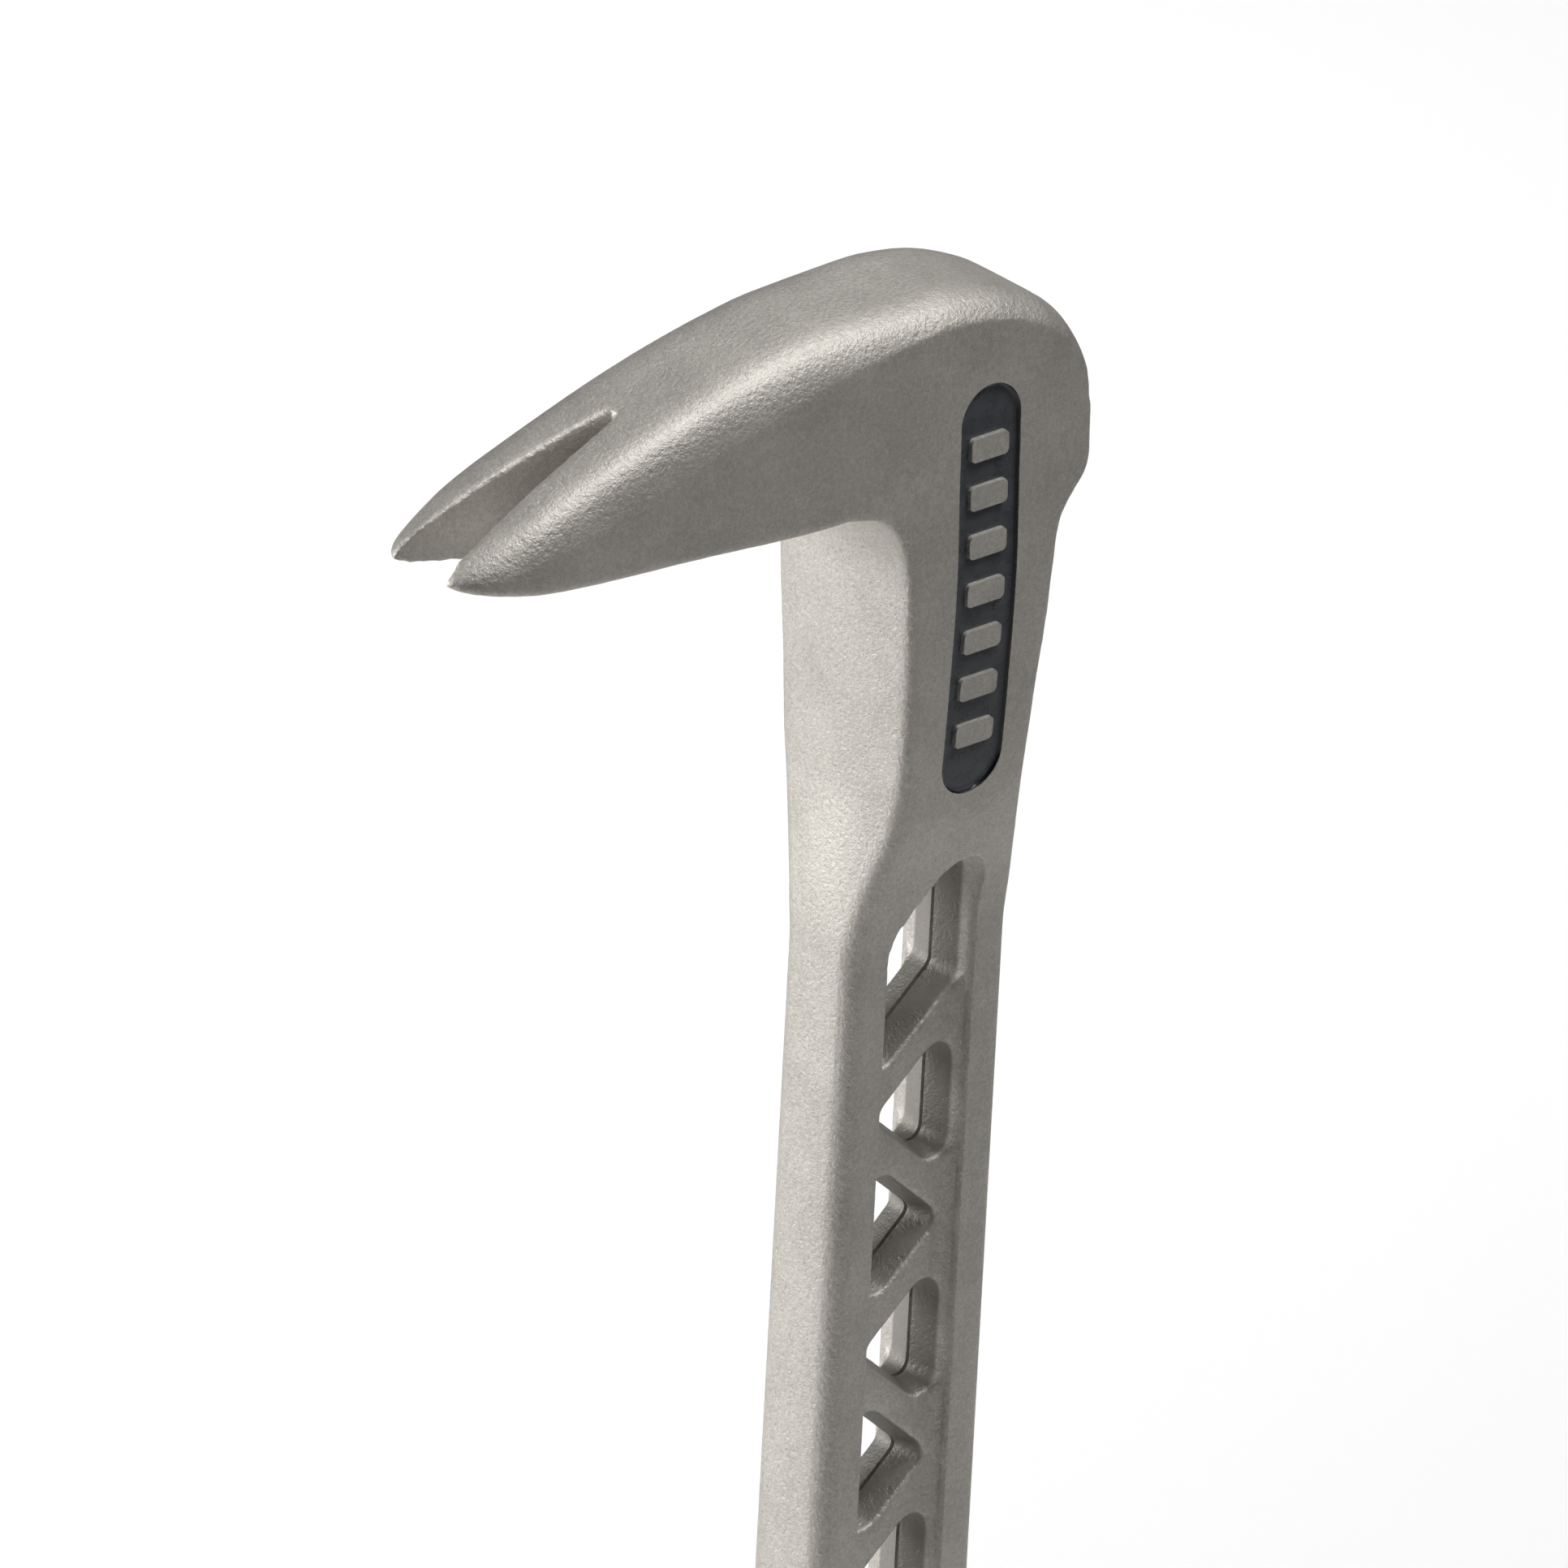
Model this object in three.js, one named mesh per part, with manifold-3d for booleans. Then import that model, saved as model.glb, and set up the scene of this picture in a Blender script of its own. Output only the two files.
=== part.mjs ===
// A 12 inch cast titanium claw bar: a slotted claw and strike pad on a solid neck,
// an open trussed I-beam handle, and a notched pry blade. Millimetres, +Z up the handle,
// the claw points towards -X and the strike pad towards +X. The bar is symmetric about Y = 0.
// It is one casting with two enamel inlays; each named mesh is one region of that casting.
import * as THREE from "three";
import { mergeVertices } from "three/addons/utils/BufferGeometryUtils.js";
import Module from "manifold-3d";

const wasm = await Module();
wasm.setup();

// ---- Driving dimensions -------------------------------------------------------------
const LENGTH = 306;
const CLAW_REACH = 62.1; // handle reference line to the claw tips
const STRIKE_REACH = 15.3; // handle reference line to the strike pad
const SPREAD = 60; // wider than any section, for blanks and cutters
const ARC_STEPS = 7;

const RAIL_FRONT = -8.7;
const RAIL_FRONT_INNER = -3.4;
const RAIL_REAR_INNER = 7.25;
const RAIL_REAR = 11.85;
const RAIL_WIDTH = 10.2;
const WEB_WIDTH = 6.7;

const CLAW_SLOT = { apexX: -38.2, apexWidth: 1.8, mouthWidth: 7.2 };
const TINE_TIP_HALF = 5.4; // half width of the claw across both tips
const CLAW_HALF = 8.5;

const CROWN_Z = 286.5; // top of the solid neck, where the head begins
const NECK_Z = 254;
const SHOULDER_Z = 245.5;
const RAILS_TOP_Z = 234.5;
const TRUSS_TOP_Z = 230.5;
const HALF_PITCH = 12.5;
const STRUTS = 12;
const TRUSS_BOTTOM_Z = TRUSS_TOP_Z - STRUTS * HALF_PITCH;
const STRUT_WIDTH = 3.0;
const WINDOW_RADIUS = 2.2;
const NODE_FRONT_X = -5.2; // where the strut lines cross inside the front rail
const NODE_REAR_X = 9.2; // and inside the rear rail

const RAILS_BOTTOM_Z = 76.5;
const HEEL_Z = 65.5;
const SHANK_Z = 46;
const NOTCH_APEX_Z = 22;
const BLADE = { half: 14, tipFrontX: -4.6, tipRearX: -2.2 };
const NOTCH = { apexWidth: 2.4, mouthWidth: 9 };

const MARK = { x: 2.1, bottomZ: 253.5, topZ: 296.5, width: 7.6 };
const MARK_DEPTH = 0.9;
const BAR_ROOT = 1.5; // the raised bars are rooted deeper than the recess floor
const ENAMEL_BELOW_FACE = 0.35;
const MARK_BARS = { count: 7, length: 4.4, height: 2.2, belowFace: 0.1 };

// ---- Materials ----------------------------------------------------------------------
const TITANIUM = { color: 0xb9b5ab, roughness: 0.55, metalness: 0.85 };
const ENAMEL = { color: 0x3a3e44, roughness: 0.2, metalness: 0 };

// ---- Geometry helpers ---------------------------------------------------------------
/** Turns a closed geometry into a solid that can be joined and cut. */
function solid(geometry) {
  geometry.deleteAttribute("normal");
  geometry.deleteAttribute("uv");
  const merged = mergeVertices(geometry, 1e-4);
  return new wasm.Manifold(
    new wasm.Mesh({
      numProp: 3,
      vertProperties: merged.attributes.position.array,
      triVerts: new Uint32Array(merged.index.array),
    }),
  );
}

/** A shape drawn in X and Z, extruded across the bar in Y. */
function across(shape, width = SPREAD) {
  const geometry = new THREE.ExtrudeGeometry(shape, {
    depth: width,
    bevelEnabled: false,
    curveSegments: ARC_STEPS,
  });
  geometry.rotateX(Math.PI / 2).translate(0, width / 2, 0);
  return solid(geometry);
}

/** A shape drawn in Y and Z, extruded from front to back in X. */
function frontToBack(shape) {
  const geometry = new THREE.ExtrudeGeometry(shape, {
    depth: 2 * SPREAD,
    bevelEnabled: false,
    curveSegments: ARC_STEPS,
  });
  const turn = new THREE.Matrix4().makeBasis(
    new THREE.Vector3(0, 1, 0),
    new THREE.Vector3(0, 0, 1),
    new THREE.Vector3(1, 0, 0),
  );
  geometry.applyMatrix4(turn).translate(-1.5 * SPREAD, 0, 0);
  return solid(geometry);
}

/** A shape drawn in X and Y, extruded upwards through the whole head. */
function upright(shape) {
  const geometry = new THREE.ExtrudeGeometry(shape, {
    depth: LENGTH,
    bevelEnabled: false,
    curveSegments: ARC_STEPS,
  });
  return solid(geometry);
}

/** A block between two X and two Z limits, as wide as the given width. */
function block(x0, x1, z0, z1, width = SPREAD) {
  const geometry = new THREE.BoxGeometry(x1 - x0, width, z1 - z0);
  geometry.translate((x0 + x1) / 2, 0, (z0 + z1) / 2);
  return solid(geometry);
}

/** The half of space on one side of Y = 0: side is 1 for left and -1 for right. */
function half(side) {
  const geometry = new THREE.BoxGeometry(4 * SPREAD, SPREAD, 2 * LENGTH);
  geometry.translate(0, (side * SPREAD) / 2, LENGTH / 2);
  return solid(geometry);
}

/** A closed polygon from a list of corner pairs. */
function polygon(corners) {
  return new THREE.Shape(corners.map(([a, b]) => new THREE.Vector2(a, b)));
}

/** A closed polygon whose corners are rounded to one radius. */
function roundedPolygon(corners, radius) {
  const points = corners.map(([a, b]) => new THREE.Vector2(a, b));
  const shape = new THREE.Shape();
  points.forEach((corner, i) => {
    const before = points.at(i - 1).clone().sub(corner).normalize();
    const after = points[(i + 1) % points.length].clone().sub(corner).normalize();
    const reach = radius / Math.tan(Math.acos(before.dot(after)) / 2);
    const start = corner.clone().addScaledVector(before, reach);
    const end = corner.clone().addScaledVector(after, reach);
    if (i === 0) shape.moveTo(start.x, start.y);
    else shape.lineTo(start.x, start.y);
    shape.quadraticCurveTo(corner.x, corner.y, end.x, end.y);
  });
  return shape;
}

/** A polygon symmetric about Y = 0 from its half widths at rising heights. */
function mirrored(stations) {
  const right = stations.map(([at, halfWidth]) => [halfWidth, at]);
  const left = stations.map(([at, halfWidth]) => [-halfWidth, at]).reverse();
  return [...right, ...left];
}

// ---- Width of the bar, as half widths at heights --------------------------------------
const WIDTH_STATIONS = [
  [0, BLADE.half],
  [18, BLADE.half],
  [HEEL_Z - 8, RAIL_WIDTH / 2],
  [RAILS_TOP_Z + 3.5, RAIL_WIDTH / 2],
  [NECK_Z, 8.6],
  [263, 9.15],
  [276, 9.75],
  [CROWN_Z, 9.3],
  [LENGTH, 8.4],
];

/** The front view of the whole bar, drawn in by an inset on both sides. */
function widthOutline(inset = 0) {
  return polygon(mirrored(WIDTH_STATIONS.map(([z, w]) => [z, w - inset])));
}

// ---- Side outlines --------------------------------------------------------------------
/** Head and neck from the side: claw, strike pad and the neck between shoulder and head. */
function headOutline() {
  const shape = new THREE.Shape();
  shape.moveTo(-6.2, NECK_Z);
  shape.lineTo(-7.1, 276);
  shape.quadraticCurveTo(-7.4, 286.6, -15.5, CROWN_Z);
  shape.lineTo(-46, 288.7);
  shape.lineTo(-CLAW_REACH, 291.2);
  shape.splineThru([
    new THREE.Vector2(-52, 297),
    new THREE.Vector2(-37, 302),
    new THREE.Vector2(-22, 305.2),
    new THREE.Vector2(-9, LENGTH),
    new THREE.Vector2(1, 305.9),
    new THREE.Vector2(8, 304.6),
    new THREE.Vector2(12.6, 301.3),
    new THREE.Vector2(STRIKE_REACH, 296),
  ]);
  shape.lineTo(STRIKE_REACH, 282.6);
  shape.quadraticCurveTo(13, 280.8, 11.6, 278.5);
  shape.lineTo(9.7, 263);
  shape.lineTo(9.4, NECK_Z);
  return shape;
}

/** The taper from the neck down to the level of the arch, from the side. */
function shoulderOutline() {
  return polygon([
    [-6.2, NECK_Z],
    [-6.6, 250],
    [RAIL_FRONT, 240],
    [RAIL_FRONT, RAILS_TOP_Z],
    [RAIL_REAR, RAILS_TOP_Z],
    [10.6, 241],
    [9.5, 248],
    [9.4, NECK_Z],
  ]);
}

/** Heel, shank and pry blade from the side: the blade sweeps forward to a thin edge. */
function bladeOutline() {
  const shape = new THREE.Shape();
  shape.moveTo(RAIL_FRONT, RAILS_BOTTOM_Z);
  shape.lineTo(RAIL_FRONT, HEEL_Z);
  shape.bezierCurveTo(RAIL_FRONT, 45, -5, 30, BLADE.tipFrontX, 0);
  shape.lineTo(BLADE.tipRearX, 0);
  shape.bezierCurveTo(-0.4, 24, 5.5, 38, RAIL_REAR - 1.6, HEEL_Z - 6);
  shape.lineTo(RAIL_REAR, HEEL_Z);
  shape.lineTo(RAIL_REAR, RAILS_BOTTOM_Z);
  return shape;
}

// ---- Plan outlines --------------------------------------------------------------------
/** The claw from above: nearly parallel sides that curve in to the two tips. */
function clawPlan() {
  const shape = new THREE.Shape();
  shape.moveTo(STRIKE_REACH + 1, -SPREAD);
  shape.lineTo(STRIKE_REACH + 1, SPREAD);
  shape.lineTo(-8, SPREAD);
  shape.lineTo(-12, 9.2);
  shape.lineTo(-50, CLAW_HALF);
  shape.quadraticCurveTo(-58, 8, -CLAW_REACH, TINE_TIP_HALF);
  shape.lineTo(-CLAW_REACH, -TINE_TIP_HALF);
  shape.quadraticCurveTo(-58, -8, -50, -CLAW_HALF);
  shape.lineTo(-12, -9.2);
  shape.lineTo(-8, -SPREAD);
  return shape;
}

/** A V slot that opens from a rounded apex to a wide mouth, drawn along the first axis. */
function slotCorners(apexAt, apexWidth, mouthAt, mouthWidth) {
  const beyond = mouthAt + Math.sign(mouthAt - apexAt) * 2;
  const flare = (mouthWidth - apexWidth) / (2 * Math.abs(mouthAt - apexAt));
  const mouthHalf = mouthWidth / 2 + 2 * flare;
  return [
    [apexAt, -apexWidth / 4],
    [apexAt, apexWidth / 4],
    [apexAt + Math.sign(mouthAt - apexAt) * (apexWidth / 4), apexWidth / 2],
    [beyond, mouthHalf],
    [beyond, -mouthHalf],
    [apexAt + Math.sign(mouthAt - apexAt) * (apexWidth / 4), -apexWidth / 2],
  ];
}

/** The nail slot of the claw. */
function clawSlot() {
  const { apexX, apexWidth, mouthWidth } = CLAW_SLOT;
  return upright(polygon(slotCorners(apexX, apexWidth, -CLAW_REACH, mouthWidth)));
}

/** The nail notch of the pry blade. */
function bladeNotch() {
  const corners = slotCorners(NOTCH_APEX_Z, NOTCH.apexWidth, 0, NOTCH.mouthWidth);
  return frontToBack(polygon(corners.map(([z, y]) => [y, z])));
}

// ---- Truss windows --------------------------------------------------------------------
const STRUT_SLOPE = HALF_PITCH / (NODE_REAR_X - NODE_FRONT_X);
const STRUT_RISE = (STRUT_WIDTH / 2) * Math.hypot(1, STRUT_SLOPE);

/** Height of a strut edge at x, on a strut line through a rear or front crossing. */
function strutEdge(x, nodeX, nodeZ, direction, side) {
  return nodeZ + direction * STRUT_SLOPE * Math.abs(x - nodeX) + side * STRUT_RISE;
}

/** A triangular window between two struts, based on one rail and centred on a height. */
function trussWindow(z, onRearRail) {
  const baseX = onRearRail ? RAIL_REAR_INNER : RAIL_FRONT_INNER;
  const apexNodeX = onRearRail ? NODE_FRONT_X : NODE_REAR_X;
  const baseHalf = STRUT_SLOPE * Math.abs(baseX - apexNodeX) - STRUT_RISE;
  const inwards = onRearRail ? -1 : 1;
  const apexX = baseX + (inwards * baseHalf) / STRUT_SLOPE;
  const corners = [[baseX, z - baseHalf], [baseX, z + baseHalf], [apexX, z]];
  return across(roundedPolygon(corners, WINDOW_RADIUS));
}

/** The tall arched window at the top of the truss. */
function topWindow() {
  const rearZ = strutEdge(RAIL_REAR_INNER, NODE_REAR_X, TRUSS_TOP_Z, -1, 1);
  const frontZ = strutEdge(RAIL_FRONT_INNER, NODE_REAR_X, TRUSS_TOP_Z, -1, 1);
  const shape = new THREE.Shape();
  shape.moveTo(RAIL_FRONT_INNER, frontZ + 3.2);
  shape.quadraticCurveTo(RAIL_FRONT_INNER, frontZ, RAIL_FRONT_INNER + 2.2, frontZ + 1.9);
  shape.lineTo(RAIL_REAR_INNER - 1.5, rearZ - 1.3);
  shape.quadraticCurveTo(RAIL_REAR_INNER, rearZ, RAIL_REAR_INNER, rearZ + 1.8);
  shape.lineTo(RAIL_REAR_INNER, SHOULDER_Z - 4.2);
  shape.quadraticCurveTo(RAIL_REAR_INNER, SHOULDER_Z, 3.6, SHOULDER_Z);
  shape.bezierCurveTo(0.6, SHOULDER_Z, RAIL_FRONT_INNER, 240, RAIL_FRONT_INNER, RAILS_TOP_Z);
  return across(shape);
}

/** The last window, which closes on the heel with an arch. */
function bottomWindow() {
  const frontZ = strutEdge(RAIL_FRONT_INNER, NODE_REAR_X, TRUSS_BOTTOM_Z, 1, -1);
  const rearZ = strutEdge(RAIL_REAR_INNER, NODE_REAR_X, TRUSS_BOTTOM_Z, 1, -1);
  const shape = new THREE.Shape();
  shape.moveTo(RAIL_FRONT_INNER, RAILS_BOTTOM_Z);
  shape.lineTo(RAIL_FRONT_INNER, frontZ - 3.2);
  shape.quadraticCurveTo(RAIL_FRONT_INNER, frontZ, RAIL_FRONT_INNER + 2.2, frontZ - 1.9);
  shape.lineTo(RAIL_REAR_INNER - 1.5, rearZ + 1.3);
  shape.quadraticCurveTo(RAIL_REAR_INNER, rearZ, RAIL_REAR_INNER, rearZ - 1.8);
  shape.lineTo(RAIL_REAR_INNER, RAILS_BOTTOM_Z);
  shape.bezierCurveTo(RAIL_REAR_INNER, HEEL_Z + 4, 5, HEEL_Z, 1.9, HEEL_Z);
  shape.bezierCurveTo(-1.2, HEEL_Z, RAIL_FRONT_INNER, HEEL_Z + 4, RAIL_FRONT_INNER, RAILS_BOTTOM_Z);
  return across(shape);
}

// ---- Side marks -----------------------------------------------------------------------
/** A capsule drawn in X and Z, as the outline of a side mark. */
function markOutline() {
  const radius = MARK.width / 2;
  const shape = new THREE.Shape();
  shape.absarc(MARK.x, MARK.topZ - radius, radius, 0, Math.PI, false);
  shape.absarc(MARK.x, MARK.bottomZ + radius, radius, Math.PI, 2 * Math.PI, false);
  return shape;
}

/** The layer of the bar between two depths below its side faces. */
function skin(outer, inner) {
  return frontToBack(widthOutline(outer)).subtract(frontToBack(widthOutline(inner)));
}

/** The raised bars that stand in both marks. */
function markBars() {
  const span = MARK.topZ - MARK.bottomZ - MARK.width;
  const bars = [];
  for (let i = 0; i < MARK_BARS.count; i++) {
    const z = MARK.bottomZ + MARK.width / 2 + (span * i) / (MARK_BARS.count - 1);
    const x0 = MARK.x - MARK_BARS.length / 2;
    const z0 = z - MARK_BARS.height / 2;
    bars.push(block(x0, x0 + MARK_BARS.length, z0, z0 + MARK_BARS.height));
  }
  return bars.reduce((all, bar) => all.add(bar));
}

/** The recess of both marks, with the raised bars left standing. */
function markRecess() {
  const pocket = across(markOutline()).intersect(skin(-2, MARK_DEPTH));
  const standing = markBars().intersect(skin(MARK_BARS.belowFace, BAR_ROOT));
  return pocket.subtract(standing);
}

/** The enamel that fills one side mark around its bars. */
function markEnamel(side) {
  const fill = across(markOutline()).intersect(skin(ENAMEL_BELOW_FACE, MARK_DEPTH));
  return fill.subtract(markBars()).intersect(half(side));
}

// ---- Whole stretches of the bar ---------------------------------------------------------
/** Head and neck with the nail slot and both mark recesses cut. */
function headAndNeck() {
  const blank = across(headOutline()).intersect(frontToBack(widthOutline()));
  return blank.intersect(upright(clawPlan())).subtract(clawSlot()).subtract(markRecess());
}

/** The shoulder with the arch of the top window cut. */
function shoulder() {
  const blank = across(shoulderOutline()).intersect(frontToBack(widthOutline()));
  return blank.subtract(topWindow()).subtract(markRecess());
}

/** Heel, shank and blade with the last window and the nail notch cut. */
function foot() {
  const blank = across(bladeOutline()).intersect(frontToBack(widthOutline()));
  return blank.subtract(bottomWindow()).subtract(bladeNotch());
}

/** The web plate between the rails with every window cut through it. */
function web() {
  let plate = block(RAIL_FRONT_INNER, RAIL_REAR_INNER, RAILS_BOTTOM_Z, RAILS_TOP_Z, WEB_WIDTH);
  plate = plate.subtract(topWindow()).subtract(bottomWindow());
  for (let i = 1; i < STRUTS; i++) {
    const onRearRail = i % 2 === 1;
    plate = plate.subtract(trussWindow(TRUSS_TOP_Z - i * HALF_PITCH, onRearRail));
  }
  return plate;
}

/** One strut: the part of the web between two neighbouring crossings. */
function strut(plate, index) {
  const top = index === 0 ? RAILS_TOP_Z : TRUSS_TOP_Z - index * HALF_PITCH;
  const last = index === STRUTS - 1;
  const bottom = last ? RAILS_BOTTOM_Z : TRUSS_TOP_Z - (index + 1) * HALF_PITCH;
  return plate.intersect(block(RAIL_FRONT_INNER, RAIL_REAR_INNER, bottom, top));
}

// ---- Assembly ---------------------------------------------------------------------------
const bar = new THREE.Group();
bar.position.x = (CLAW_REACH - STRIKE_REACH) / 2;

/** Adds one solid to the bar as a named mesh. */
function addPiece(name, piece, look = TITANIUM) {
  const { vertProperties, triVerts } = piece.getMesh();
  const geometry = new THREE.BufferGeometry();
  geometry.setAttribute("position", new THREE.BufferAttribute(vertProperties, 3));
  geometry.setIndex(new THREE.BufferAttribute(triVerts, 1));
  const flat = geometry.toNonIndexed();
  flat.computeVertexNormals();
  const mesh = new THREE.Mesh(flat, new THREE.MeshStandardMaterial(look));
  mesh.name = name;
  bar.add(mesh);
}

/** Claw tines, claw bridge, head block, strike pad and neck. */
function addHead() {
  const whole = headAndNeck();
  const apexX = CLAW_SLOT.apexX;
  const tines = whole.intersect(block(-CLAW_REACH - 1, apexX, CROWN_Z, LENGTH + 1));
  addPiece("claw_tine_left", tines.intersect(half(1)));
  addPiece("claw_tine_right", tines.intersect(half(-1)));
  addPiece("claw_bridge", whole.intersect(block(apexX, -15.5, CROWN_Z - 1, LENGTH + 1)));
  addPiece("head_block", whole.intersect(block(-15.5, 11.5, 279, LENGTH + 1)));
  addPiece("strike_pad", whole.intersect(block(11.5, STRIKE_REACH + 1, 276, LENGTH + 1)));
  addPiece("neck", whole.intersect(block(-15.5, 11.5, NECK_Z, 279)));
}

/** The shoulder cap and the two legs that straddle the arch. */
function addShoulder() {
  const whole = shoulder();
  addPiece("shoulder_cap", whole.intersect(block(-SPREAD, SPREAD, SHOULDER_Z, NECK_Z)));
  const legs = whole.intersect(block(-SPREAD, SPREAD, RAILS_TOP_Z, SHOULDER_Z));
  addPiece("shoulder_front_leg", legs.intersect(block(-SPREAD, 3.6, 0, LENGTH)));
  addPiece("shoulder_rear_leg", legs.intersect(block(3.6, SPREAD, 0, LENGTH)));
}

/** Front rail, rear rail and every strut between them. */
function addTruss() {
  const rail = [RAILS_BOTTOM_Z, RAILS_TOP_Z, RAIL_WIDTH];
  addPiece("front_rail", block(RAIL_FRONT, RAIL_FRONT_INNER, ...rail));
  addPiece("rear_rail", block(RAIL_REAR_INNER, RAIL_REAR, ...rail));
  const plate = web();
  for (let i = 0; i < STRUTS; i++) {
    const number = String(i + 1).padStart(2, "0");
    addPiece(`truss_strut_${number}`, strut(plate, i));
  }
}

/** Heel legs, heel block, shank and the notched blade. */
function addFoot() {
  const whole = foot();
  const legs = whole.intersect(block(-SPREAD, SPREAD, HEEL_Z, RAILS_BOTTOM_Z));
  addPiece("heel_front_leg", legs.intersect(block(-SPREAD, 1.9, 0, LENGTH)));
  addPiece("heel_rear_leg", legs.intersect(block(1.9, SPREAD, 0, LENGTH)));
  addPiece("heel_block", whole.intersect(block(-SPREAD, SPREAD, SHANK_Z, HEEL_Z)));
  addPiece("pry_shank", whole.intersect(block(-SPREAD, SPREAD, NOTCH_APEX_Z, SHANK_Z)));
  const tines = whole.intersect(block(-SPREAD, SPREAD, -1, NOTCH_APEX_Z));
  addPiece("pry_tine_left", tines.intersect(half(1)));
  addPiece("pry_tine_right", tines.intersect(half(-1)));
}

addHead();
addShoulder();
addTruss();
addFoot();
addPiece("side_mark_enamel_left", markEnamel(1), ENAMEL);
addPiece("side_mark_enamel_right", markEnamel(-1), ENAMEL);

export default bar;
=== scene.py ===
"""Looks of a one-piece cast titanium claw bar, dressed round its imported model.

The bar stands on its blade with +Z up the handle. The claw points towards -X and the strike pad
towards +X. All sizes in the classes are millimetres, measured across from the handle's own line,
and are turned into metres when a mesh is placed.
"""

import logging
import math
from collections import Counter
from dataclasses import dataclass, field
from enum import Enum
from itertools import combinations
from typing import Any, Optional, Sequence

import bpy
from mathutils import Matrix, Vector


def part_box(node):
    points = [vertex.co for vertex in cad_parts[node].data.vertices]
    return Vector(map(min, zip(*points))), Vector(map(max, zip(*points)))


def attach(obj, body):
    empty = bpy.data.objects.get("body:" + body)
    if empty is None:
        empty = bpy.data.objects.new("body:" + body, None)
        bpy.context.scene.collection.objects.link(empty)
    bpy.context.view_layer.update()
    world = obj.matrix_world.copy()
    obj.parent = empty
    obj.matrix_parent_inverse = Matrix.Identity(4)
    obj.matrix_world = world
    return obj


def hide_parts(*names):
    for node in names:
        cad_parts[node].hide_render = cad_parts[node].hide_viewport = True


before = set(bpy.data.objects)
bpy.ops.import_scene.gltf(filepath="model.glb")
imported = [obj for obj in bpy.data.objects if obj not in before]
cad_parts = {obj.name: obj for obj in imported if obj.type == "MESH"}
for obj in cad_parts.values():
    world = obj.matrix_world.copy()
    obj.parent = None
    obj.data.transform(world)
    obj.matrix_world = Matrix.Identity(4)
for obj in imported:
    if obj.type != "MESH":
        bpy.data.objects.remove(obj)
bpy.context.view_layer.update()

log = logging.getLogger("claw_bar")

MM = 0.001
STRIKE_REACH = 15.3
CLAW_TIP = -62.1
WEB_HALF = 3.35
STRUTS = 12
Pair = tuple[float, float]
Triple = tuple[float, float, float]


class Cut(Enum):
    """How one solid works on another."""

    JOIN = "UNION"
    CUT = "DIFFERENCE"
    KEEP = "INTERSECT"


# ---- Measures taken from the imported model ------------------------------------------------


@dataclass(frozen=True)
class Datum:
    """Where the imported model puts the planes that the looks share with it, in millimetres."""

    line_x: float
    rail_front: float
    rail_front_inner: float
    rail_rear_inner: float
    rail_rear: float
    rails_bottom: float
    rails_top: float
    crossings: tuple[float, ...]
    shoulder: float
    heel: float

    @classmethod
    def from_frame(cls) -> "Datum":
        """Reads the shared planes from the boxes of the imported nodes.

        Returns:
            The planes, with X counted from the handle's own line.
        """
        line_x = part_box("strike_pad")[1].x / MM - STRIKE_REACH
        front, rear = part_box("front_rail"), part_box("rear_rail")
        struts = [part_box(f"truss_strut_{n:02d}") for n in range(1, STRUTS + 1)]
        return cls(
            line_x=line_x,
            rail_front=front[0].x / MM - line_x,
            rail_front_inner=front[1].x / MM - line_x,
            rail_rear_inner=rear[0].x / MM - line_x,
            rail_rear=rear[1].x / MM - line_x,
            rails_bottom=front[0].z / MM,
            rails_top=front[1].z / MM,
            crossings=tuple(strut[0].z / MM for strut in struts[:-1]),
            shoulder=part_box("shoulder_cap")[0].z / MM,
            heel=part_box("heel_block")[1].z / MM,
        )

    def place(self, x: float, y: float, z: float) -> Vector:
        """Turns a point in millimetres from the handle's line into the frame's metres.

        Args:
            x: Distance behind the handle's line.
            y: Distance to the left.
            z: Height.

        Returns:
            The point in the frame.
        """
        return Vector(((x + self.line_x) * MM, y * MM, z * MM))


# ---- Drawing helpers -----------------------------------------------------------------------


def eased(stations: Sequence[Pair], at: float) -> float:
    """Reads a smooth line through stations without overshoot.

    Args:
        stations: Pairs of place and value, with rising places.
        at: The place to read.

    Returns:
        The value of a monotone cubic through the stations.
    """
    if at <= stations[0][0]:
        return stations[0][1]
    if at >= stations[-1][0]:
        return stations[-1][1]
    slopes = [
        (b[1] - a[1]) / (b[0] - a[0]) for a, b in zip(stations, stations[1:])
    ]
    tangents = [slopes[0]]
    for before, after in zip(slopes, slopes[1:]):
        same_way = before * after > 0
        tangents.append(2 * before * after / (before + after) if same_way else 0.0)
    tangents.append(slopes[-1])
    i = max(k for k, station in enumerate(stations[:-1]) if station[0] <= at)
    (x0, y0), (x1, y1) = stations[i], stations[i + 1]
    span = x1 - x0
    t = (at - x0) / span
    return (
        y0 * (1 + 2 * t) * (1 - t) ** 2
        + tangents[i] * span * t * (1 - t) ** 2
        + y1 * t * t * (3 - 2 * t)
        + tangents[i + 1] * span * t * t * (t - 1)
    )


def arc(centre: Pair, radius: float, start: float, end: float, steps: int) -> list[Pair]:
    """Lists points on an arc, both ends included.

    Args:
        centre: The arc's centre.
        radius: The arc's radius.
        start: The first angle in degrees.
        end: The last angle in degrees.
        steps: How many chords the arc has.

    Returns:
        The points.
    """
    angles = [math.radians(start + (end - start) * i / steps) for i in range(steps + 1)]
    return [
        (centre[0] + radius * math.cos(a), centre[1] + radius * math.sin(a))
        for a in angles
    ]


def between(a: float, b: float, count: int) -> list[float]:
    """Lists evenly spaced values strictly between two values."""
    return [a + (b - a) * (i + 1) / (count + 1) for i in range(count)]


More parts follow.
